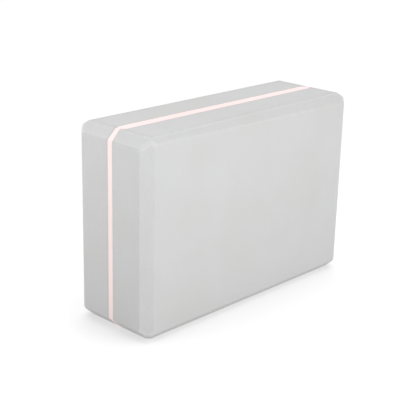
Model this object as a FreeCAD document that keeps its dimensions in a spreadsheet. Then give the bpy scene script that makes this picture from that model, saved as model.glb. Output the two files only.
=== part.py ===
import FreeCAD, Part
import os

import Sketcher

# Yoga block: a firm closed-cell EVA foam brick, 9 x 6 x 3 in, that stands here on
# one of its long narrow faces. It is a laminate. A thin coloured foam sheet runs
# right through the middle and shows as a stripe on the two ends, the top and the
# underside. Along the top and the underside it spreads into a shallow flange, let
# into a rebate in each slab, so the stripe is wider there. A thick grey foam slab
# is bonded to each side of the sheet with a film of contact adhesive. All twelve
# edges are bevelled at 45 degrees in straight passes, and the bevels' edges are
# buffed soft. Three bevels meet in one ridge point at each of the eight corners.
# The pass along the front top edge runs a little askew, so that bevel widens from
# left to right.
#
# Frame: millimetres, +Z up. The origin is the middle of the face it stands on.
# X runs along the length, Y through the thickness (front face at -Y), Z up.

doc = FreeCAD.newDocument("yoga_block")

# ---------------------------------------------------------------- driving sizes
sheet = doc.addObject("Spreadsheet::Sheet", "dims")
rows = [
    # alias, value in mm, meaning
    ("block_length", 228.6, "length, 9 in"),
    ("block_height", 152.4, "height as it stands, 6 in"),
    ("block_thickness", 76.2, "thickness through the laminate, 3 in"),
    ("end_bevel", 7.5, "leg of the 45 degree bevel across the top of each end"),
    ("end_foot_bevel", 8.5, "leg of the bevel across the foot of each end"),
    ("upright_bevel", 7.5, "leg of the bevel on the four upright edges"),
    ("long_bevel", 6.0, "leg of the bevel along the rear top edge"),
    ("foot_bevel", 6.5, "leg of the bevel along the two long edges of the foot"),
    ("top_bevel_left", 4.0, "leg of the front top bevel, left end of the block"),
    ("top_bevel_right", 7.2, "leg of the front top bevel, right end of the block"),
    ("edge_round", 2.0, "radius left on the bevels' edges by buffing"),
    ("stripe_thickness", 4.7, "coloured foam sheet in the middle"),
    ("flange_half", 4.4, "half the width of the stripe along the top and the underside"),
    ("flange_depth", 2.0, "how deep that wider part goes"),
    ("flange_end", 105.5, "where it ends on the top, from the middle"),
    ("flange_foot_end", 103.5, "where it ends on the underside, from the middle"),
    ("flange_taper", 2.3, "length that it narrows over at each end"),
    ("film_thickness", 0.2, "contact adhesive between two foam layers"),
    ("film_inset", 0.15, "how far the adhesive stops short of the cut edges"),
    ("overrun", 5.0, "how far the bevel cutter runs past the foam"),
]
for i, (alias, value, meaning) in enumerate(rows, start=1):
    sheet.set("A%d" % i, meaning)
    sheet.set("B%d" % i, str(value))
    sheet.setAlias("B%d" % i, alias)
doc.recompute()

# What follows from them: where the glue planes are, and how thick a slab is.
derived = [
    ("slab_thickness", "=(block_thickness - stripe_thickness) / 2 - film_thickness", "one grey slab"),
    ("slab_plane", "=stripe_thickness / 2 + film_thickness", "a slab's glued face, from the middle"),
    ("film_plane", "=stripe_thickness / 2", "a stripe's glued face, from the middle"),
    ("film_length", "=block_length - 2 * film_inset", "adhesive, along the length"),
    ("film_drop", "=flange_depth + film_inset", "adhesive, from the top and the base"),
    ("film_height", "=block_height - 2 * film_drop", "adhesive, up the block"),
    ("film_bevel", "=end_bevel - film_drop + film_inset * (sqrt(2) - 1)", "adhesive, leg of its upper corners"),
    ("film_foot_bevel", "=end_foot_bevel - film_drop + film_inset * (sqrt(2) - 1)", "adhesive, leg of its lower corners"),
    ("film_round", "=edge_round - film_inset", "adhesive, radius of its corners' edges"),
    ("flange_full", "=flange_end - flange_taper", "full width of the flange on the top, up to here"),
    ("flange_foot_full", "=flange_foot_end - flange_taper", "the same on the underside"),
    ("end_cut", "=end_bevel + 2 * overrun", "side of the cutter's triangle, end passes at the top"),
    ("end_foot_cut", "=end_foot_bevel + 2 * overrun", "the same, end passes at the foot"),
    ("upright_cut", "=upright_bevel + 2 * overrun", "the same, upright passes"),
    ("long_cut", "=long_bevel + 2 * overrun", "the same, rear top pass"),
    ("foot_cut", "=foot_bevel + 2 * overrun", "the same, long passes at the foot"),
    ("top_cut", "=(top_bevel_left + top_bevel_right) / 2 + 2 * overrun", "the same, front top pass, mid-length"),
    ("top_skew", "=atan((top_bevel_right - top_bevel_left) / block_length)", "how far askew the front top pass runs"),
    ("cut_half_length", "=block_length / 2 + overrun", "triangle's square corner, from the middle, along the length"),
    ("cut_half_thickness", "=block_thickness / 2 + overrun", "the same through the thickness"),
    ("cut_top", "=block_height + overrun", "the same above the base"),
]
for i, (alias, formula, meaning) in enumerate(derived, start=len(rows) + 1):
    sheet.set("A%d" % i, meaning)
    sheet.set("B%d" % i, formula)
    sheet.setAlias("B%d" % i, alias)
doc.recompute()


def size(alias):
    return float(sheet.get(alias))


EPS = 1e-4


def plane_of(body, role):
    for feature in body.Origin.OriginFeatures:
        if feature.Role == role:
            return feature
    raise RuntimeError("no %s in %s" % (role, body.Label))


def outline(body, name, length, height, bottom, offset):
    """A rectangle in the X-Z plane, centred on X, with its lower side at `bottom`.
    `offset` is the expression for how far the plane stands from the middle, along
    the plane's own normal, which points to -Y."""
    sk = body.newObject("Sketcher::SketchObject", name)
    sk.AttachmentSupport = [(plane_of(body, "XZ_Plane"), "")]
    sk.MapMode = "FlatFace"
    if offset:
        sk.setExpression("AttachmentOffset.Base.z", offset)
    doc.recompute()
    hw, lo, hi = 90.0, 1.0, 140.0
    corner = [(-hw, lo), (hw, lo), (hw, hi), (-hw, hi)]
    V = FreeCAD.Vector
    for k in range(4):
        (x0, z0), (x1, z1) = corner[k], corner[(k + 1) % 4]
        sk.addGeometry(Part.LineSegment(V(x0, z0, 0), V(x1, z1, 0)), False)
    C = Sketcher.Constraint
    for k in range(4):
        sk.addConstraint(C("Coincident", k, 2, (k + 1) % 4, 1))
    sk.addConstraint(C("Horizontal", 2))
    sk.addConstraint(C("Vertical", 1))
    sk.addConstraint(C("Vertical", 3))
    # the lower side's ends mirror each other in the vertical axis, so it is level too
    sk.addConstraint(C("Symmetric", 0, 1, 0, 2, -2))
    n = sk.addConstraint(C("DistanceX", 0, 1, 0, 2, 2 * hw))
    sk.renameConstraint(n, "length")
    n = sk.addConstraint(C("DistanceY", 1, 1, 1, 2, hi - lo))
    sk.renameConstraint(n, "height")
    sk.setExpression("Constraints.length", length)
    sk.setExpression("Constraints.height", height)
    if bottom:
        n = sk.addConstraint(C("DistanceY", -1, 1, 0, 1, lo))
        sk.renameConstraint(n, "bottom")
        sk.setExpression("Constraints.bottom", bottom)
    else:
        sk.addConstraint(C("PointOnObject", 0, 1, -1))
    doc.recompute()
    return sk


def pad(body, sketch, name, length, reverse=False, midplane=False):
    p = body.newObject("PartDesign::Pad", name)
    p.Profile = sketch
    p.setExpression("Length", length)
    if midplane:
        p.SideType = "Symmetric"
    p.Reversed = reverse
    doc.recompute()
    return p


def passes(body, name, plane, corners, side, skew=None):
    """Straight passes of the bevel cutter: each cuts a triangle with two equal
    sides along one edge, through the whole piece. A corner is the triangle's
    square corner, outside the foam: (sign and expression of its first sketch
    coordinate, sign and expression of the second). `skew` is the expression for
    the angle that the cutter's path is turned by, about the sketch's second axis."""
    sk = body.newObject("Sketcher::SketchObject", name + "_profile")
    sk.AttachmentSupport = [(plane_of(body, plane), "")]
    sk.MapMode = "FlatFace"
    if skew:
        sk.AttachmentOffset = FreeCAD.Placement(
            FreeCAD.Vector(0, 0, 0), FreeCAD.Rotation(FreeCAD.Vector(0, 1, 0), 1.0))
        sk.setExpression("AttachmentOffset.Rotation.Angle", skew)
    doc.recompute()
    V, C = FreeCAD.Vector, Sketcher.Constraint
    for k, (su, u, sv, v) in enumerate(corners):
        u0, v0 = su * 100.0, (160.0 if sv > 0 else -8.0)
        if abs(su) > 0 and "thickness" in u:
            u0 = su * 45.0
        if "thickness" in v:
            v0 = sv * 45.0
        a, b, c = V(u0, v0, 0), V(u0 - su * 16.0, v0, 0), V(u0, v0 - sv * 16.0, 0)
        n = 3 * k
        sk.addGeometry(Part.LineSegment(a, b), False)
        sk.addGeometry(Part.LineSegment(b, c), False)
        sk.addGeometry(Part.LineSegment(c, a), False)
        sk.addConstraint(C("Coincident", n, 2, n + 1, 1))
        sk.addConstraint(C("Coincident", n + 1, 2, n + 2, 1))
        sk.addConstraint(C("Coincident", n + 2, 2, n, 1))
        sk.addConstraint(C("Horizontal", n))
        sk.addConstraint(C("Vertical", n + 2))
        sk.addConstraint(C("Equal", n, n + 2))
        bound = []
        ends = (n, 2, n, 1) if su > 0 else (n, 1, n, 2)
        bound.append(("side%d" % k, sk.addConstraint(C("DistanceX", *ends, 16.0)), side))
        ends = (-1, 1, n, 1) if su > 0 else (n, 1, -1, 1)
        bound.append(("across%d" % k, sk.addConstraint(C("DistanceX", *ends, abs(u0))), u))
        ends = (-1, 1, n, 1) if sv > 0 else (n, 1, -1, 1)
        bound.append(("along%d" % k, sk.addConstraint(C("DistanceY", *ends, abs(v0))), v))
        for label, index, expression in bound:
            sk.renameConstraint(index, label)
            sk.setExpression("Constraints." + label, expression)
    doc.recompute()
    cut = body.newObject("PartDesign::Pocket", name)
    cut.Profile = sk
    cut.Type = "ThroughAll"
    cut.SideType = "Symmetric"
    doc.recompute()
    return cut


def plan(body, name, corners, level):
    """A closed outline seen from above, at the height given by the expression `level`.
    Each corner is (sign and expression of x, sign and expression of y)."""
    sk = body.newObject("Sketcher::SketchObject", name)
    sk.AttachmentSupport = [(plane_of(body, "XY_Plane"), "")]
    sk.MapMode = "FlatFace"
    if level:
        sk.setExpression("AttachmentOffset.Base.z", level)
    doc.recompute()
    V, C = FreeCAD.Vector, Sketcher.Constraint
    spots = [V(sx * size(x.split(".")[1]), sy * size(y.split(".")[1]), 0) for sx, x, sy, y in corners]
    count = len(spots)
    for k in range(count):
        sk.addGeometry(Part.LineSegment(spots[k], spots[(k + 1) % count]), False)
    for k in range(count):
        sk.addConstraint(C("Coincident", k, 2, (k + 1) % count, 1))
    for k, (sx, x, sy, y) in enumerate(corners):
        for label, kind, sign, expression, value in (
            ("x%d" % k, "DistanceX", sx, x, abs(spots[k].x)), ("y%d" % k, "DistanceY", sy, y, abs(spots[k].y)),
        ):
            ends = (-1, 1, k, 1) if sign > 0 else (k, 1, -1, 1)
            sk.renameConstraint(sk.addConstraint(C(kind, *ends, value)), label)
            sk.setExpression("Constraints." + label, expression)
    doc.recompute()
    return sk


def edge_names(shape, wanted):
    names = ["Edge%d" % (i + 1) for i, e in enumerate(shape.Edges) if wanted(e)]
    if not names:
        raise RuntimeError("no edge to work on")
    return names


def runs_along_y(e):
    a, b = e.Vertexes[0].Point, e.Vertexes[-1].Point
    return abs(a.x - b.x) < EPS and abs(a.z - b.z) < EPS and abs(a.y - b.y) > EPS


def lies_in_y(e, y):
    return all(abs(v.Point.y - y) < EPS for v in e.Vertexes)


def chamfer(body, base, name, wanted, leg):
    c = body.newObject("PartDesign::Chamfer", name)
    c.Base = (base, edge_names(base.Shape, wanted))
    c.setExpression("Size", leg)
    doc.recompute()
    return c


def fillet(body, base, name, wanted, radius):
    f = body.newObject("PartDesign::Fillet", name)
    f.Base = (base, edge_names(base.Shape, wanted))
    f.setExpression("Radius", radius)
    doc.recompute()
    return f


# ------------------------------------------------------------------- the pieces
def end_passes(body, label):
    """The four edges that run through the laminate, top and bottom of each end."""
    half, top, foot = "dims.cut_half_length", "dims.cut_top", "dims.overrun"
    passes(body, label + "_end_foot_bevels", "XZ_Plane", [(-1, half, -1, foot), (1, half, -1, foot)], "dims.end_foot_cut")
    return passes(body, label + "_end_bevels", "XZ_Plane", [(1, half, 1, top), (-1, half, 1, top)], "dims.end_cut")


def flange_levels():
    """Where the stripe spreads: name, height, end of the flange, end of its full width."""
    return [
        ("top", "dims.block_height", "dims.flange_end", "dims.flange_full"),
        ("foot", None, "dims.flange_foot_end", "dims.flange_foot_full"),
    ]


def foam_slab(label, rear):
    """One grey slab. Its glued face is flat and square-edged, with a rebate for the
    stripe's flange along the top and the foot. Its other edges are bevelled: four
    across the ends, two upright, two along the length."""
    body = doc.addObject("PartDesign::Body", label)
    body.Label = label
    side = 1 if rear else -1
    glue_y = side * size("slab_plane")
    sk = outline(
        body, label + "_outline", "dims.block_length", "dims.block_height", None,
        ("-1 * dims.slab_plane" if rear else "dims.slab_plane"),
    )
    pad(body, sk, label + "_billet", "dims.slab_thickness", reverse=rear)
    end_passes(body, label)
    half, deep = "dims.cut_half_length", "dims.cut_half_thickness"
    passes(body, label + "_upright_bevels", "XY_Plane", [
        (-1, half, side, deep), (1, half, side, deep),
    ], "dims.upright_cut")
    foot, top = (side, deep, -1, "dims.overrun"), (side, deep, 1, "dims.cut_top")
    passes(body, label + "_foot_bevel", "YZ_Plane", [foot], "dims.foot_cut")
    if rear:
        cut = passes(body, label + "_top_bevel", "YZ_Plane", [top], "dims.long_cut")
    else:
        cut = passes(body, label + "_top_bevel", "YZ_Plane", [top], "dims.top_cut", "dims.top_skew")
    fillet(body, cut, label + "_buffed_edges", lambda e: not lies_in_y(e, glue_y), "dims.edge_round")
    near, far = "dims.film_plane", "dims.flange_half"
    for name, level, end, full in flange_levels():
        sk = plan(body, "%s_%s_rebate_plan" % (label, name), [
            (-1, end, side, near), (1, end, side, near), (1, full, side, far), (-1, full, side, far),
        ], level)
        rebate = body.newObject("PartDesign::Pocket", "%s_%s_rebate" % (label, name))
        rebate.Profile = sk
        rebate.Type = "Length"
        rebate.setExpression("Length", "dims.flange_depth")
        rebate.Reversed = name == "foot"
        doc.recompute()
    return body


def stripe_sheet(label):
    """The coloured sheet. Only its four corners reach a bevel. A flange runs along
    its top and its foot, on both sides, flush with the block's own faces."""
    body = doc.addObject("PartDesign::Body", label)
    body.Label = label
    sk = outline(body, label + "_outline", "dims.block_length", "dims.block_height", None, None)
    pad(body, sk, label + "_sheet", "dims.stripe_thickness", midplane=True)
    cut = end_passes(body, label)
    fillet(body, cut, label + "_buffed_edges", runs_along_y, "dims.edge_round")
    near, far = "dims.film_plane", "dims.flange_half"
    for name, level, end, full in flange_levels():
        sk = plan(body, "%s_%s_flange_plan" % (label, name), [
            (-1, end, -1, near), (-1, full, -1, far), (1, full, -1, far), (1, end, -1, near),
            (1, end, 1, near), (1, full, 1, far), (-1, full, 1, far), (-1, end, 1, near),
        ], level)
        pad(body, sk, "%s_%s_flange" % (label, name), "dims.flange_depth", reverse=name == "top")
    return body


def bond_film(label, rear):
    """Adhesive film between the two flanges, a little smaller all round than the
    layers that it joins, so that a hairline gap shows along the cut ends."""
    body = doc.addObject("PartDesign::Body", label)
    body.Label = label
    sk = outline(
        body, label + "_outline", "dims.film_length", "dims.film_height", "dims.film_drop",
        ("-1 * dims.film_plane" if rear else "dims.film_plane"),
    )
    p = pad(body, sk, label + "_coat", "dims.film_thickness", reverse=rear)
    middle = size("block_height") / 2
    upper = lambda e: runs_along_y(e) and e.Vertexes[0].Z > middle
    lower = lambda e: runs_along_y(e) and e.Vertexes[0].Z < middle
    c = chamfer(body, p, label + "_upper_corners", upper, "dims.film_bevel")
    c = chamfer(body, c, label + "_lower_corners", lower, "dims.film_foot_bevel")
    fillet(body, c, label + "_buffed_edges", runs_along_y, "dims.film_round")
    return body


pieces = [
    foam_slab("front_foam_slab", rear=False),
    bond_film("front_bond_film", rear=False),
    stripe_sheet("stripe_foam_sheet"),
    bond_film("rear_bond_film", rear=True),
    foam_slab("rear_foam_slab", rear=True),
]
doc.recompute()

# ------------------------------------------------------------- checks and files
for obj in doc.Objects:
    if "Invalid" in obj.State or "Error" in obj.State:
        raise RuntimeError("%s failed: %s" % (obj.Label, obj.State))

L, H, T = size("block_length"), size("block_height"), size("block_thickness")
ce, cv, cl, fi = size("end_bevel"), size("upright_bevel"), size("long_bevel"), size("film_inset")
cef, cf, drop = size("end_foot_bevel"), size("foot_bevel"), size("film_drop")
near, far, deep = size("film_plane"), size("flange_half"), size("flange_depth")


def flange_volume(inner):
    """Both flanges on one side of the sheet, from `inner` outwards."""
    out = 0.0
    for end in (size("flange_end"), size("flange_foot_end")):
        full = end - size("flange_taper")
        reach = end - (end - full) * (inner - near) / (far - near)
        out += (reach + full) * (far - inner) * deep
    return out


ca, cb = size("top_bevel_left"), size("top_bevel_right")
spans = {
    "front_foam_slab": (-T / 2, -size("slab_plane")),
    "front_bond_film": (-size("slab_plane"), -size("film_plane")),
    "stripe_foam_sheet": (-far, far),
    "rear_bond_film": (size("film_plane"), size("slab_plane")),
    "rear_foam_slab": (size("slab_plane"), T / 2),
}
for body in pieces:
    s = body.Shape
    if s.isNull() or not s.isValid() or len(s.Solids) != 1:
        raise RuntimeError("%s has no valid single solid" % body.Label)
    b = s.BoundBox
    y0, y1 = spans[body.Label]
    film = "film" in body.Label
    ins, low = (fi, drop) if film else (0.0, 0.0)
    wanted = (-L / 2 + ins, L / 2 - ins, y0, y1, low, H - low)
    got = (b.XMin, b.XMax, b.YMin, b.YMax, b.ZMin, b.ZMax)
    if any(abs(a - g) > 0.02 for a, g in zip(wanted, got)):
        raise RuntimeError("%s is not where it should be: %s" % (body.Label, got))
    # what the bevels should take off the plain billet, before the edges are buffed
    through = size("stripe_thickness") if "sheet" in body.Label else y1 - y0
    plain = (L - 2 * ins) * (H - 2 * low) * through
    upper, lower = (size("film_bevel"), size("film_foot_bevel")) if film else (ce, cef)
    cut = (upper ** 2 + lower ** 2) * through
    took = plain - s.Volume
    if "slab" in body.Label:
        # mean square of the leg of this slab's top bevel
        top = (ca * ca + ca * cb + cb * cb) / 3 if body.Label.startswith("front") else cl ** 2
        cut += L * (cf ** 2 + top) / 2 + H * cv ** 2
        # three bevels share a little of each of the four outer corners
        cut -= 2 * 0.75 * (ce * cv * cl + cef * cv * cf)
        took -= flange_volume(size("slab_plane"))
    elif "sheet" in body.Label:
        took += 2 * flange_volume(near)
    print("%-18s %8.2f cm3, bevels should take about %6.3f, they take %6.3f" % (
        body.Label, s.Volume / 1000, cut / 1000, took / 1000))
    if not 0.98 * cut < took < 1.05 * cut:
        raise RuntimeError("%s: a bevel is missing" % body.Label)

# The front top bevel's plane, before buffing: a point just outside it is air and
# one just inside it is foam, near both ends.
front = pieces[0].Shape
for x in (-0.4 * L, 0.4 * L):
    leg = ca + (cb - ca) * (x + L / 2) / L
    for off, inside in ((-0.3, False), (0.3, True)):
        p = FreeCAD.Vector(x, -T / 2 + leg / 2 + off, H - leg / 2 - off)
        if front.isInside(p, 1e-3, False) != inside:
            raise RuntimeError("the front top bevel is not %.1f mm at x = %.0f" % (leg, x))

for i, a in enumerate(pieces):
    for b in pieces[i + 1:]:
        shared = a.Shape.common(b.Shape).Volume
        if shared > 0.005:
            raise RuntimeError("%s and %s overlap by %.3f mm3" % (a.Label, b.Label, shared))

os.makedirs("parts", exist_ok=True)
for body in pieces:
    body.Shape.exportStep(os.path.join("parts", body.Label + ".step"))
print("wrote", [p.Label for p in pieces])
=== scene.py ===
import itertools
import math

import bpy
import numpy as np
from mathutils import Matrix, Vector, noise


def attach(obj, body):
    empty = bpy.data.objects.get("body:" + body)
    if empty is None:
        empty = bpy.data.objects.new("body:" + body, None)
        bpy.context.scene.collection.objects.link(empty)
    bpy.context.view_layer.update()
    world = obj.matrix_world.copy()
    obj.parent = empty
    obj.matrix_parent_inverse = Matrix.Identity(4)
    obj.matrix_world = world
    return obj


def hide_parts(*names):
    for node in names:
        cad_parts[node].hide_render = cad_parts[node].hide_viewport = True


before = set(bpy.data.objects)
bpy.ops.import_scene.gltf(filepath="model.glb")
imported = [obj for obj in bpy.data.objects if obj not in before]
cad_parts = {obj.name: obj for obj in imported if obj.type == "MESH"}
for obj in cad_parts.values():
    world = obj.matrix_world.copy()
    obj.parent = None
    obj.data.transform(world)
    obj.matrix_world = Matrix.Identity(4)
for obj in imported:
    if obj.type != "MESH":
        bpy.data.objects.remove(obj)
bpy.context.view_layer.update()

# A foam yoga block, standing on a long narrow face. Sizes below are millimetres and
# repeat the part's own; meshes are written in metres, in the part's frame.
LENGTH, HEIGHT, THICKNESS = 228.6, 152.4, 76.2
END_BEVEL, END_FOOT_BEVEL, UPRIGHT_BEVEL = 7.5, 8.5, 7.5
LONG_BEVEL, FOOT_BEVEL = 6.0, 6.5
FOOT_CORNER = 3.2
TOP_BEVEL_LEFT, TOP_BEVEL_RIGHT = 4.0, 7.2
EDGE_ROUND = 2.0
STRIPE_HALF, FILM = 2.35, 0.2
SLAB_PLANE = STRIPE_HALF + FILM
# along the top and the underside the stripe spreads into a shallow flange
FLANGE_HALF, FLANGE_DEPTH, FLANGE_TAPER = 4.4, 2.0, 2.3
FLANGE_END = {"top": 105.5, "bottom": 103.5}
SEAM_ROUND = 0.13

# ------------------------------------------------------------------ the block's shape
HX, HY = LENGTH / 2, THICKNESS / 2


def block_planes():
    """Outward normals and offsets of the block's faces and bevels."""
    out = [
        ((1, 0, 0), HX), ((-1, 0, 0), HX), ((0, 1, 0), HY), ((0, -1, 0), HY),
        ((0, 0, 1), HEIGHT), ((0, 0, -1), 0.0),
    ]
    for sx in (-1, 1):
        out.append(((sx, 0, 1), HX + HEIGHT - END_BEVEL))
        out.append(((sx, 0, -1), HX - END_FOOT_BEVEL))
        for sy in (-1, 1):
            out.append(((sx, sy, 0), HX + HY - UPRIGHT_BEVEL))
    out.append(((0, 1, 1), HY + HEIGHT - LONG_BEVEL))
    out.append(((0, 1, -1), HY - FOOT_BEVEL))
    out.append(((0, -1, -1), HY - FOOT_BEVEL))
    # the foot corners are blunt: the ridge where the foot bevels meet is taken off
    for sx in (-1, 1):
        for sy in (-1, 1):
            out.append(((sx, sy, -2), HX + HY - END_FOOT_BEVEL - FOOT_BEVEL - FOOT_CORNER))
    # the front top bevel widens along the length
    mid = (TOP_BEVEL_LEFT + TOP_BEVEL_RIGHT) / 2
    slope = (TOP_BEVEL_RIGHT - TOP_BEVEL_LEFT) / LENGTH
    out.append(((slope, -1, 1), HY + HEIGHT - mid))
    normals = np.array([n for n, _ in out], float)
    size = np.linalg.norm(normals, axis=1)
    return normals / size[:, None], np.array([d for _, d in out]) / size


class Core:
    """The block shrunk by the edge radius. The block's surface is everything one
    radius away from it, so a point's nearest place on the core gives the rounded
    surface and its normal exactly."""

    def __init__(self):
        self.n, d = block_planes()
        self.d = d - EDGE_ROUND
        found = []
        for trio in itertools.combinations(range(len(self.n)), 3):
            a = self.n[list(trio)]
            if abs(np.linalg.det(a)) < 1e-6:
                continue
            p = np.linalg.solve(a, self.d[list(trio)])
            if (self.n @ p <= self.d + 1e-6).all():
                found.append(p)
        corners = []
        for p in found:
            if not any(np.linalg.norm(p - q) < 1e-5 for q in corners):
                corners.append(p)
        self.corners = np.array(corners)
        on = np.abs(self.corners @ self.n.T - self.d) < 1e-5
        self.edges = []
        for i, j in itertools.combinations(range(len(self.n)), 2):
            both = np.flatnonzero(on[:, i] & on[:, j])
            if len(both) == 2:
                self.edges.append((i, j, both[0], both[1]))
        # the short ridges at the corners, where an upright bevel meets another bevel; they carry a painted highlight
        slant = (np.abs(self.n) > 0.3).sum(axis=1) == 2
        upright = slant & (np.abs(self.n[:, 2]) < 1e-6)
        self.ridges = [e for e in self.edges if slant[e[0]] and slant[e[1]] and (upright[e[0]] or upright[e[1]])]

    def nearest(self, p):
        q = np.full_like(p, np.nan)
        left = np.ones(len(p), bool)

        def settle(rows, candidate, extra=None):
            ok = (candidate @ self.n.T <= self.d + 1e-7).all(axis=1)
            if extra is not None:
                ok &= extra
            q[rows[ok]] = candidate[ok]
            left[rows[ok]] = False

        for n, d in zip(self.n, self.d):
            rows = np.flatnonzero(left)
            over = p[rows] @ n - d
            settle(rows, p[rows] - over[:, None] * n, over >= 0)
        for i, j, _, _ in self.edges:
            rows = np.flatnonzero(left)
            if not len(rows):
                break
            a, b = self.n[i], self.n[j]
            c = a @ b
            over = np.stack([p[rows] @ a - self.d[i], p[rows] @ b - self.d[j]], axis=1)
            push = over @ np.array([[1, -c], [-c, 1]]) / (1 - c * c)
            settle(rows, p[rows] - push[:, :1] * a - push[:, 1:] * b, (push >= -1e-9).all(axis=1))
        rows = np.flatnonzero(left)
        if len(rows):
            away = np.linalg.norm(p[rows, None] - self.corners[None], axis=2)
            q[rows] = self.corners[away.argmin(axis=1)]
        return q

    def edge_distance(self, q, edges):
        """How far points of the core are from the nearest of these edges."""
        best = np.full(len(q), 1e9)
        for _, _, a, b in edges:
            a, b = self.corners[a], self.corners[b]
            run = b - a
            t = np.clip((q - a) @ run / (run @ run), 0, 1)
            best = np.minimum(best, np.linalg.norm(q - a - t[:, None] * run, axis=1))
        return best


core = Core()
MARGIN = 5.0            # the meshing cage stands this far outside the core
FINE, COARSE = 0.6, 2.4  # mesh pitch over the bevels and on the flats
LEG = 8.6               # no bevel's leg is longer than this on the core


def cage_lines(lo, hi, open_lo=False):
    """Mesh lines from lo to hi, dense where they cross a bevel."""
    band = MARGIN + LEG + 2.5
    a = lo if open_lo else lo + band
    b = hi - band
    count = max(2, int(round((b - a) / COARSE)))
    flat = np.linspace(a, b, count + 1)
    steps = int(round(band / FINE))
    after = b + band * np.arange(1, steps + 1) / steps
    before = np.array([]) if open_lo else lo + band * np.arange(steps) / steps
    return np.concatenate([before, flat, after])


OUT_X = HX - EDGE_ROUND + MARGIN
OUT_Y = HY - EDGE_ROUND + MARGIN
LOW_Z, TOP_Z = EDGE_ROUND - MARGIN, HEIGHT - EDGE_ROUND + MARGIN
GX, GZ = cage_lines(-OUT_X, OUT_X), cage_lines(LOW_Z, TOP_Z)
SEAM_STEPS = np.linspace(0, math.pi / 2, 6)


def unevenness(p):
    """How far the cut surface lies under the true one: slow, slight, never proud."""
    out = np.empty(len(p))
    for i, (x, y, z) in enumerate(p):
        slow = noise.noise(Vector((x / 61.0 + 3.1, y / 47.0 - 1.7, z / 55.0 + 8.3)))
        mild = noise.noise(Vector((x / 19.0 - 5.2, y / 17.0 + 2.4, z / 21.0 - 0.6)))
        out[i] = slow * 0.75 + mild * 0.25
    return 0.075 * (1.0 + np.clip(out * 1.6, -1, 1))


def surface(p, seam=None):
    """Cage points to points of the finished surface. `seam` is how far in from the
    glue plane each point is, for the small round along a glued edge."""
    q = core.nearest(p)
    way = p - q
    normal = way / np.linalg.norm(way, axis=1)[:, None]
    place = q + EDGE_ROUND * normal
    # the face it stands on stays flat
    flat = np.clip((place[:, 2] - 0.4) / 6.0, 0, 1)
    sink = unevenness(place) * flat
    if seam is not None:
        near = seam < SEAM_ROUND
        s = np.where(near, seam, SEAM_ROUND)
        sink = sink + SEAM_ROUND - np.sqrt(np.maximum(SEAM_ROUND ** 2 - (SEAM_ROUND - s) ** 2, 0))
    # a faint pressed line runs just inside the borders of the top and the underside; the same mask also darkens the
    # colour along it as painted shade
    inside = core.edge_distance(q, core.edges)
    level = np.clip((np.abs(normal[:, 2]) - 0.95) / 0.05, 0, 1)
    crease_and_painted_shade = level * np.exp(-((inside - 1.4) / 2.3) ** 2)
    sink = sink + 0.08 * crease_and_painted_shade * flat
    place = place - sink[:, None] * normal
    # the painted shade along it is stronger across the ends than along the length
    crease_and_painted_shade = crease_and_painted_shade * (0.5 + 0.5 * np.clip((np.abs(q[:, 0]) - 98.0) / 5.0, 0, 1))
    wear = np.exp(-(inside / 0.8) ** 2)
    # painted highlight along the short corner ridges
    painted_ridge_highlight = np.exp(-(core.edge_distance(q, core.ridges) / 1.1) ** 2)
    # painted light and shade, set to the photograph's tones: the bevels across the length are painted lighter, those
    # along the top darker
    across = np.minimum(np.abs(normal[:, 0]), np.maximum(np.abs(normal[:, 1]), normal[:, 2]))
    along = np.minimum(np.abs(normal[:, 1]), normal[:, 2])
    bevel = np.clip((across - 0.35) / 0.3, 0, 1) - 0.9 * np.clip((along - 0.35) / 0.3, 0, 1)
    return place, normal, np.stack([wear, painted_ridge_highlight, bevel, crease_and_painted_shade], axis=1)


class Sheetwork:
    """Collects grid patches and welds them into one closed mesh."""

    def __init__(self):
        self.places, self.uvs, self.faces, self.marks = [], [], [], []
        self.count = 0

    def patch(self, place, uv, marks, flip):
        """place: (rows, columns, 3); uv: (rows, columns, 2); marks: (rows, columns, 6)"""
        rows, columns = place.shape[:2]
        ids = self.count + np.arange(rows * columns).reshape(rows, columns)
        self.count += rows * columns
        self.places.append(place.reshape(-1, 3))
        self.uvs.append(uv.reshape(-1, 2))
        self.marks.append(marks.reshape(-1, 6))
        a, b, c, d = ids[:-1, :-1], ids[:-1, 1:], ids[1:, 1:], ids[1:, :-1]
        quads = np.stack([a, b, c, d], axis=2).reshape(-1, 4)
        # either way round a quad starts at the same corner, so facing caps split alike
        self.faces.append(quads[:, [0, 3, 2, 1]] if flip else quads)

    def build(self, name):
        places = np.concatenate(self.places)
        uvs = np.concatenate(self.uvs)
        marks = np.concatenate(self.marks)
        faces = np.concatenate(self.faces)
        # patches share their border points, so equal places are one vertex
        key = np.round(places * 1e5).astype(np.int64)
        _, first, inverse = np.unique(key, axis=0, return_index=True, return_inverse=True)
        inverse = inverse.reshape(-1)
        welded = inverse[faces]
        mesh = bpy.data.meshes.new(name)
        mesh.from_pydata((places[first] * 0.001).tolist(), [], welded.tolist())
        layer = mesh.uv_layers.new(name="OFBake")
        layer.data.foreach_set("uv", uvs[faces.reshape(-1)].astype(np.float32).ravel())
        for column, label in enumerate(("cut", "seam", "wear", "painted_ridge_highlight", "bevel", "crease_and_painted_shade")):
            values = mesh.attributes.new(label, "FLOAT", "POINT")
            values.data.foreach_set("value", marks[first][:, column].astype(np.float32))
        mesh.validate()
        mesh.update()
        for polygon in mesh.polygons:
            polygon.use_smooth = True
        piece = bpy.data.objects.new(name, mesh)
        bpy.context.scene.collection.objects.link(piece)
        return piece


def spread(x, face):
    """How much farther out the glued edge runs where the stripe has its flange."""
    return (FLANGE_HALF - STRIPE_HALF) * np.clip((FLANGE_END[face] - np.abs(x)) / FLANGE_TAPER, 0, 1)


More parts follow.
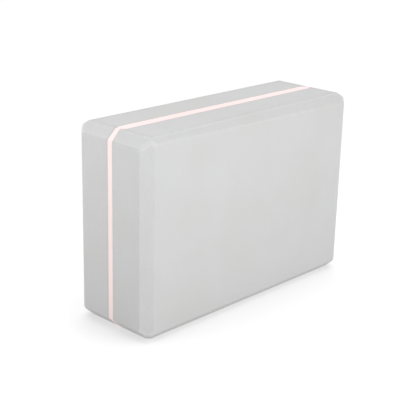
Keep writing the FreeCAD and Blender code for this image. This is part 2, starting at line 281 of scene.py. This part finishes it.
def side_rows(lines_y, share):
    """Cage ring of a slab or sheet at each y: four strips, in the order top, right,
    bottom, left, each (rows, columns, 3). `share` is how much of the flange's spread
    each line takes up."""
    out = []
    for name in ("top", "right", "bottom", "left"):
        if name in ("top", "bottom"):
            x, y = np.meshgrid(GX, lines_y)
            y = y + np.sign(y) * share[:, None] * spread(x, name)
            z = np.full_like(x, TOP_Z if name == "top" else LOW_Z)
        else:
            z, y = np.meshgrid(GZ, lines_y)
            x = np.full_like(z, OUT_X if name == "right" else -OUT_X)
        out.append((name, np.stack([x, y, z], axis=2)))
    return out


def shaped(cage, seam=None):
    """Finished places, and the marks at each point (cut face, seam, edge wear, painted
    highlight on the corner ridges, painted light and shade on the bevels, painted shade
    along the pressed line). `seam` is each row's distance from its glued edge."""
    shape = cage.shape[:2]
    p = cage.reshape(-1, 3)
    if seam is not None:
        seam = np.repeat(seam, shape[1])
    place, normal, marks = surface(p, seam)
    cut = 1 - np.clip((np.abs(normal[:, 1]) - 0.80) / 0.18, 0, 1)
    near = np.zeros(len(p)) if seam is None else np.exp(-(seam / 0.55) ** 2)
    marks = np.concatenate([cut[:, None], near[:, None], marks], axis=1)
    return place.reshape(shape + (3,)), marks.reshape(shape + (6,))


def coons(bottom, top, left, right):
    """Fills a ring of four border rows with a grid (rows up, columns along)."""
    u = np.linspace(0, 1, len(bottom))[None, :, None]
    v = np.linspace(0, 1, len(left))[:, None, None]
    ruled_a = (1 - v) * bottom[None] + v * top[None]
    ruled_b = (1 - u) * left[:, None] + u * right[:, None]
    corners = (1 - u) * (1 - v) * bottom[0] + u * (1 - v) * bottom[-1] + (1 - u) * v * top[0] + u * v * top[-1]
    return ruled_a + ruled_b - corners


def glue_cap(ring, side, y):
    """The glued face at y, stepped outwards round the flange."""
    grid = coons(ring["bottom"], ring["top"], ring["left"], ring["right"])
    x, z = grid[:, :, 0], grid[:, :, 2]
    step = np.where(z > HEIGHT - FLANGE_DEPTH, spread(x, "top"), 0.0)
    step = np.where(z < FLANGE_DEPTH, spread(x, "bottom"), step)
    grid[:, :, 1] = side * (y + step)
    return grid


def uv_box(grid2, x0, y0, w, h, span):
    """Grid of flat coordinates fitted into a corner of the map."""
    lo, hi = grid2.reshape(-1, 2).min(axis=0), grid2.reshape(-1, 2).max(axis=0)
    scale = min(w / (hi[0] - lo[0]), h / (hi[1] - lo[1]))
    return (np.array([x0, y0]) + (grid2 - lo) * scale) / span


def foam_slab(name, side):
    """One thick slab; side -1 is the front. Its broad face and the four sides unfold
    as a cross in the map."""
    depth = cage_lines(SLAB_PLANE + SEAM_ROUND + 0.35, OUT_Y, open_lo=True)
    round_over = SLAB_PLANE + SEAM_ROUND * (1 - np.cos(SEAM_STEPS))
    deep = np.concatenate([round_over, depth])
    lines_y = side * deep
    share = (OUT_Y - deep) / (OUT_Y - SLAB_PLANE)
    work = Sheetwork()
    reach = OUT_Y - SLAB_PLANE
    gap = 1.5
    span = 2 * (OUT_X + reach + gap)
    mid_u, mid_v = span / 2, span - gap - reach - (TOP_Z - LOW_Z) / 2
    ring = {}
    for label, cage in side_rows(lines_y, share):
        place, marks = shaped(cage, deep - SLAB_PLANE)
        ring[label] = place[0]
        out = OUT_Y - np.abs(cage[:, :, 1])
        x, z = cage[:, :, 0], cage[:, :, 2] - (LOW_Z + TOP_Z) / 2
        if label == "top":
            u, v = x, (TOP_Z - LOW_Z) / 2 + out
        elif label == "bottom":
            u, v = x, -(TOP_Z - LOW_Z) / 2 - out
        elif label == "right":
            u, v = OUT_X + out, z
        else:
            u, v = -OUT_X - out, z
        uv = np.stack([mid_u - side * u, mid_v + v], axis=2) / span
        work.patch(place, uv, marks, flip=(label in ("top", "left")) == (side < 0))
    x, z = np.meshgrid(GX, GZ)
    cage = np.stack([x, np.full_like(x, side * OUT_Y), z], axis=2)
    place, marks = shaped(cage)
    uv = np.stack([mid_u - side * x, mid_v + z - (LOW_Z + TOP_Z) / 2], axis=2) / span
    work.patch(place, uv, marks, flip=side > 0)
    cap = glue_cap(ring, side, SLAB_PLANE)
    room = span - 2 * reach - (TOP_Z - LOW_Z) - 3 * gap
    uv = uv_box(cap[:, :, [0, 2]], gap, gap, span / 3, room, span)
    marks = np.zeros(cap.shape[:2] + (6,))
    marks[:, :, 0] = 1
    work.patch(cap, uv, marks, flip=side < 0)
    return work.build(name)


def stripe_sheet(name):
    """The thin coloured sheet between the slabs."""
    half = STRIPE_HALF
    round_over = half - SEAM_ROUND * (1 - np.cos(SEAM_STEPS))
    inner = np.linspace(-(half - SEAM_ROUND - 0.35), half - SEAM_ROUND - 0.35, 8)
    lines_y = np.concatenate([-round_over, inner, round_over[::-1]])
    share = np.clip(np.abs(lines_y) / (half - SEAM_ROUND - 0.35), 0, 1)
    work = Sheetwork()
    gap, row = 1.0, 2 * FLANGE_HALF + 1.0
    span = 2 * OUT_X + 2 * gap
    rings = ({}, {})
    for k, (label, cage) in enumerate(side_rows(lines_y, share)):
        place, marks = shaped(cage, half - np.abs(lines_y))
        rings[0][label], rings[1][label] = place[0], place[-1]
        along = cage[:, :, 0] + OUT_X if label in ("top", "bottom") else cage[:, :, 2] - LOW_Z
        uv = np.stack([gap + along, gap + k * row + cage[:, :, 1] + FLANGE_HALF], axis=2) / span
        work.patch(place, uv, marks, flip=label in ("bottom", "right"))
    for k, side in enumerate((-1, 1)):
        cap = glue_cap(rings[k], side, half)
        uv = uv_box(cap[:, :, [0, 2]], gap + k * span / 2, 5 * row, span / 2 - 2 * gap, span / 2, span)
        marks = np.zeros(cap.shape[:2] + (6,))
        marks[:, :, 0] = 1
        work.patch(cap, uv, marks, flip=k == 1)
    return work.build(name)


# ------------------------------------------------------------------------- materials
class Nodes:
    """Short-hand for a material's node tree."""

    def __init__(self, name):
        self.material = bpy.data.materials.new(name)
        self.material.use_nodes = True
        self.tree = self.material.node_tree
        self.tree.nodes.clear()
        self.shader = self.tree.nodes.new("ShaderNodeBsdfPrincipled")
        out = self.tree.nodes.new("ShaderNodeOutputMaterial")
        self.link(self.shader.outputs["BSDF"], out.inputs["Surface"])
        self.where = self.tree.nodes.new("ShaderNodeTexCoord").outputs["Object"]

    def link(self, a, b):
        self.tree.links.new(a, b)

    def put(self, value, socket):
        if isinstance(value, (int, float)):
            socket.default_value = value
        else:
            self.link(value, socket)

    def math(self, kind, a, b=0.0, c=None):
        n = self.tree.nodes.new("ShaderNodeMath")
        n.operation = kind
        self.put(a, n.inputs[0])
        self.put(b, n.inputs[1])
        if c is not None:
            self.put(c, n.inputs[2])
        return n.outputs[0]

    def mark(self, name):
        n = self.tree.nodes.new("ShaderNodeAttribute")
        n.attribute_name = name
        return n.outputs["Fac"]

    def stretched(self, x, y, z):
        n = self.tree.nodes.new("ShaderNodeMapping")
        n.inputs["Scale"].default_value = (x, y, z)
        self.link(self.where, n.inputs["Vector"])
        return n.outputs["Vector"]

    def noise(self, size_mm, detail=2.0, rough=0.5, where=None):
        """Smooth noise whose features are about size_mm across, centred on 0."""
        n = self.tree.nodes.new("ShaderNodeTexNoise")
        n.inputs["Scale"].default_value = 1000.0 / size_mm
        n.inputs["Detail"].default_value = detail
        n.inputs["Roughness"].default_value = rough
        self.link(where or self.where, n.inputs["Vector"])
        return self.math("SUBTRACT", n.outputs["Fac"], 0.5)

    def cells(self, size_mm, feature="F1", smooth=0.0, where=None):
        n = self.tree.nodes.new("ShaderNodeTexVoronoi")
        n.feature = feature
        n.inputs["Scale"].default_value = 1000.0 / size_mm
        if feature == "SMOOTH_F1":
            n.inputs["Smoothness"].default_value = smooth
        self.link(where or self.where, n.inputs["Vector"])
        return n

    def ramp(self, value, lo, hi, a=0.0, b=1.0):
        n = self.tree.nodes.new("ShaderNodeMapRange")
        n.interpolation_type = "SMOOTHSTEP"
        self.put(value, n.inputs["Value"])
        n.inputs["From Min"].default_value, n.inputs["From Max"].default_value = lo, hi
        n.inputs["To Min"].default_value, n.inputs["To Max"].default_value = a, b
        return n.outputs["Result"]

    def total(self, start, terms):
        """start plus each value times its weight"""
        out = start
        for value, weight in terms:
            out = self.math("MULTIPLY_ADD", value, weight, out)
        return out

    def blend(self, a, b, share):
        n = self.tree.nodes.new("ShaderNodeMix")
        n.data_type = "RGBA"
        n.inputs["A"].default_value = a + (1.0,)
        n.inputs["B"].default_value = b + (1.0,)
        for socket, value in (("A", a), ("B", b)):
            sockets = [s for s in n.inputs if s.name == socket and s.type == "RGBA"]
            sockets[0].default_value = value + (1.0,)
        factor = [s for s in n.inputs if s.name == "Factor" and s.type == "VALUE"][0]
        self.put(share, factor)
        return [s for s in n.outputs if s.type == "RGBA"][0]

    def brighten(self, colour, value):
        n = self.tree.nodes.new("ShaderNodeHueSaturation")
        self.link(colour, n.inputs["Color"])
        self.put(value, n.inputs["Value"])
        return n.outputs["Color"]

    def bump(self, height, strength, distance_mm, under=None):
        n = self.tree.nodes.new("ShaderNodeBump")
        n.inputs["Strength"].default_value = strength
        n.inputs["Distance"].default_value = distance_mm * 0.001
        self.link(height, n.inputs["Height"])
        if under is not None:
            self.link(under, n.inputs["Normal"])
        return n.outputs["Normal"]


def foam(name, colour, other, grain=1.0):
    """Closed-cell EVA foam: a fine cell grain that is plainer on the broad skin faces
    and a little coarser where it was cut, faint mottling, sparse pinholes, and edges
    rubbed a shade lighter. It also carries painted light and shade: a highlight on the
    corner ridges, bevels painted lighter or darker, and shade along the pressed lines."""
    m = Nodes(name)
    cut, seam, wear = m.mark("cut"), m.mark("seam"), m.mark("wear")
    painted_ridge_highlight, bevel, crease_and_painted_shade = m.mark("painted_ridge_highlight"), m.mark("bevel"), m.mark("crease_and_painted_shade")
    clouds = m.noise(58.0, 3.0, 0.55)
    patches = m.noise(9.0, 3.0, 0.6)
    mottle = m.noise(3.4, 2.0, 0.5)
    speck = m.noise(1.5, 3.0, 0.6)
    cell = m.cells(0.75, "SMOOTH_F1", 0.35)
    grains = m.math("SUBTRACT", cell.outputs["Distance"], 0.42)
    # one cell in five of a loose scatter holds a pinhole, on the cut faces only
    scatter = m.cells(4.2)
    split = m.tree.nodes.new("ShaderNodeSeparateColor")
    m.link(scatter.outputs["Color"], split.inputs["Color"])
    chosen = m.math("GREATER_THAN", split.outputs["Red"], 0.78)
    hole = m.math("MULTIPLY", m.ramp(scatter.outputs["Distance"], 0.05, 0.13, 1.0, 0.0), chosen)
    hole = m.math("MULTIPLY", hole, cut)
    # saw marks: long faint streaks along the cut faces
    streak = m.math("MULTIPLY", m.noise(3.2, 2.0, 0.5, m.stretched(0.12, 1.0, 0.12)), cut)
    fine = m.math("MULTIPLY_ADD", cut, 0.7, 0.55)
    value = m.total(1.0, [
        (clouds, 0.030), (patches, 0.028), (mottle, 0.022), (m.math("MULTIPLY", speck, fine), 0.060 * grain),
        (m.math("MULTIPLY", grains, fine), 0.055 * grain), (streak, 0.024), (hole, -0.10), (wear, 0.012), (seam, -0.045),
        # painted light and shade: a highlight on the corner ridges, bevels painted lighter or darker, shade along the
        # pressed line
        (painted_ridge_highlight, 0.07), (bevel, 0.066), (crease_and_painted_shade, -0.076),
    ])
    tint = m.blend(colour, other, m.ramp(clouds, -0.18, 0.18))
    m.link(m.brighten(tint, value), m.shader.inputs["Base Color"])
    rough = m.total(0.80, [(patches, 0.10), (speck, 0.10), (cut, 0.06), (wear, -0.08), (hole, 0.1)])
    m.link(rough, m.shader.inputs["Roughness"])
    height = m.total(0.0, [(grains, 0.55), (speck, 0.6), (hole, -1.2), (streak, 0.5)])
    height = m.math("MULTIPLY", height, fine)
    coarse = m.bump(patches, 0.10, 0.6)
    m.link(m.bump(height, 0.32, 0.22, coarse), m.shader.inputs["Normal"])
    m.shader.inputs["Specular IOR Level"].default_value = 0.28
    m.shader.inputs["Sheen Weight"].default_value = 0.04
    m.shader.inputs["Sheen Roughness"].default_value = 0.6
    return m.material


def adhesive(name):
    """Dried contact adhesive in the glue lines: clouded, a little glossier than foam."""
    m = Nodes(name)
    clouds, speck = m.noise(14.0, 3.0, 0.6), m.noise(0.9, 2.0, 0.5)
    tint = m.blend((0.50, 0.475, 0.43), (0.58, 0.56, 0.52), m.ramp(clouds, -0.15, 0.15))
    m.link(m.brighten(tint, m.total(1.0, [(speck, 0.12)])), m.shader.inputs["Base Color"])
    m.link(m.total(0.55, [(clouds, 0.15), (speck, 0.15)]), m.shader.inputs["Roughness"])
    m.link(m.bump(speck, 0.3, 0.1), m.shader.inputs["Normal"])
    m.shader.inputs["Specular IOR Level"].default_value = 0.4
    return m.material


grey = foam("grey_eva", (0.498, 0.497, 0.495), (0.508, 0.509, 0.511))
pink = foam("pink_eva", (0.824, 0.680, 0.667), (0.839, 0.696, 0.686), grain=0.7)
glue = adhesive("glue_line")

front = foam_slab("front_slab", -1)
rear = foam_slab("rear_slab", 1)
stripe = stripe_sheet("stripe_sheet")
for piece, node, slot, material in (
    (front, "front_foam_slab", "grey_foam", grey),
    (rear, "rear_foam_slab", "grey_foam", grey),
    (stripe, "stripe_foam_sheet", "pink_foam", pink),
):
    piece.data.materials.append(material)
    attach(piece, "root")
    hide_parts(node)
for node in ("front_bond_film", "rear_bond_film"):
    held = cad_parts[node]
    for slot in held.material_slots:
        slot.material = glue
    if not held.material_slots:
        held.data.materials.append(glue)

# ----------------------------------------------------------------- floor and lighting
scene = bpy.context.scene


def plain_floor():
    mesh = bpy.data.meshes.new("studio_floor")
    s, z = 9.0, -0.00005
    mesh.from_pydata([(-s, -s, z), (s, -s, z), (s, s, z), (-s, s, z)], [], [(0, 1, 2, 3)])
    mesh.update()
    floor = bpy.data.objects.new("studio_floor", mesh)
    scene.collection.objects.link(floor)
    paper = bpy.data.materials.new("studio_paper")
    paper.use_nodes = True
    shader = next(n for n in paper.node_tree.nodes if n.type == "BSDF_PRINCIPLED")
    shader.inputs["Base Color"].default_value = (0.47, 0.47, 0.47, 1.0)
    shader.inputs["Roughness"].default_value = 1.0
    shader.inputs["Specular IOR Level"].default_value = 0.0
    # a lit table: its own glow keeps the shadow round the foot pale
    shader.inputs["Emission Color"].default_value = (1.0, 1.0, 1.0, 1.0)
    shader.inputs["Emission Strength"].default_value = 0.445
    mesh.materials.append(paper)
    return floor


def set_lamp(name, lamp, towards, place=(0.0, 0.0, 1.0)):
    """Hangs a lamp so that it shines from direction `towards`, unseen itself."""
    held = bpy.data.objects.new(name, lamp)
    scene.collection.objects.link(held)
    held.location = place
    held.rotation_euler = Vector(towards).to_track_quat("Z", "Y").to_euler()
    held.visible_camera = False


def wide_lamp(name, towards, spread, strength):
    """A far, very wide soft lamp; strength 1 brings a white card facing it to white."""
    lamp = bpy.data.lights.new(name, "SUN")
    lamp.angle = math.radians(spread)
    lamp.energy = strength * math.pi
    set_lamp(name, lamp, towards)


def strip_lamp(name, place, towards, width, height, watts):
    """A soft strip close to the block."""
    lamp = bpy.data.lights.new(name, "AREA")
    lamp.shape = "RECTANGLE"
    lamp.size, lamp.size_y = width, height
    lamp.energy = watts
    set_lamp(name, lamp, towards, place)


plain_floor()
world = bpy.data.worlds.new("studio")
scene.world = world
world.use_nodes = True
sky = next(n for n in world.node_tree.nodes if n.type == "BACKGROUND")
sky.inputs["Color"].default_value = (1.0, 1.0, 1.0, 1.0)
sky.inputs["Strength"].default_value = 0.31
# the backdrop is white paper, whatever light the room itself gives
paper_sky = world.node_tree.nodes.new("ShaderNodeBackground")
paper_sky.inputs["Color"].default_value = (1.0, 1.0, 1.0, 1.0)
paper_sky.inputs["Strength"].default_value = 1.0
rays = world.node_tree.nodes.new("ShaderNodeLightPath")
choose = world.node_tree.nodes.new("ShaderNodeMixShader")
out = next(n for n in world.node_tree.nodes if n.type == "OUTPUT_WORLD")
world.node_tree.links.new(rays.outputs["Is Camera Ray"], choose.inputs[0])
world.node_tree.links.new(sky.outputs[0], choose.inputs[1])
world.node_tree.links.new(paper_sky.outputs[0], choose.inputs[2])
world.node_tree.links.new(choose.outputs[0], out.inputs["Surface"])
wide_lamp("rear_lamp", (0.30, 0.30, 0.906), 75.0, 0.745)
wide_lamp("front_right_lamp", (0.5, -0.5, 0.707), 60.0, 0.300)
strip_lamp("front_strip", (-0.045, -0.36, 0.18), (-0.05, -1.0, 0.0), 0.6, 0.12, 0.785)
strip_lamp("left_strip", (-0.34, 0.07, 0.20), (-1.0, 0.2, 0.2), 0.25, 0.08, 0.26)
strip_lamp("low_left_strip", (-0.44, 0.08, 0.17), (-1.0, 0.1, 0.0), 0.3, 0.12, 0.145)
scene.view_settings.view_transform = "Standard"
scene.view_settings.look = "None"

# ----------------------------------------------------------------------------- camera
AZIMUTH, ELEVATION, ROLL = math.radians(-46.757), math.radians(18.975), math.radians(1.469)
DISTANCE, TARGET, FOCAL_PX = 0.8137, Vector((-0.01252, 0.0, 0.07174)), 1033.6
back = Vector((math.sin(AZIMUTH) * math.cos(ELEVATION), -math.cos(AZIMUTH) * math.cos(ELEVATION), math.sin(ELEVATION)))
right = Vector((math.cos(AZIMUTH), math.sin(AZIMUTH), 0.0))
up = back.cross(right)
axis_x = right * math.cos(ROLL) + up * math.sin(ROLL)
axis_y = up * math.cos(ROLL) - right * math.sin(ROLL)
lens = bpy.data.cameras.new("camera")
lens.sensor_fit = "HORIZONTAL"
lens.sensor_width = 36.0
lens.lens = FOCAL_PX / 416.0 * 36.0
lens.clip_start, lens.clip_end = 0.05, 50.0
camera = bpy.data.objects.new("camera", lens)
scene.collection.objects.link(camera)
turn = Matrix((axis_x, axis_y, back)).transposed().to_4x4()
camera.matrix_world = Matrix.Translation(TARGET + back * DISTANCE) @ turn
scene.camera = camera

bpy.context.view_layer.update()
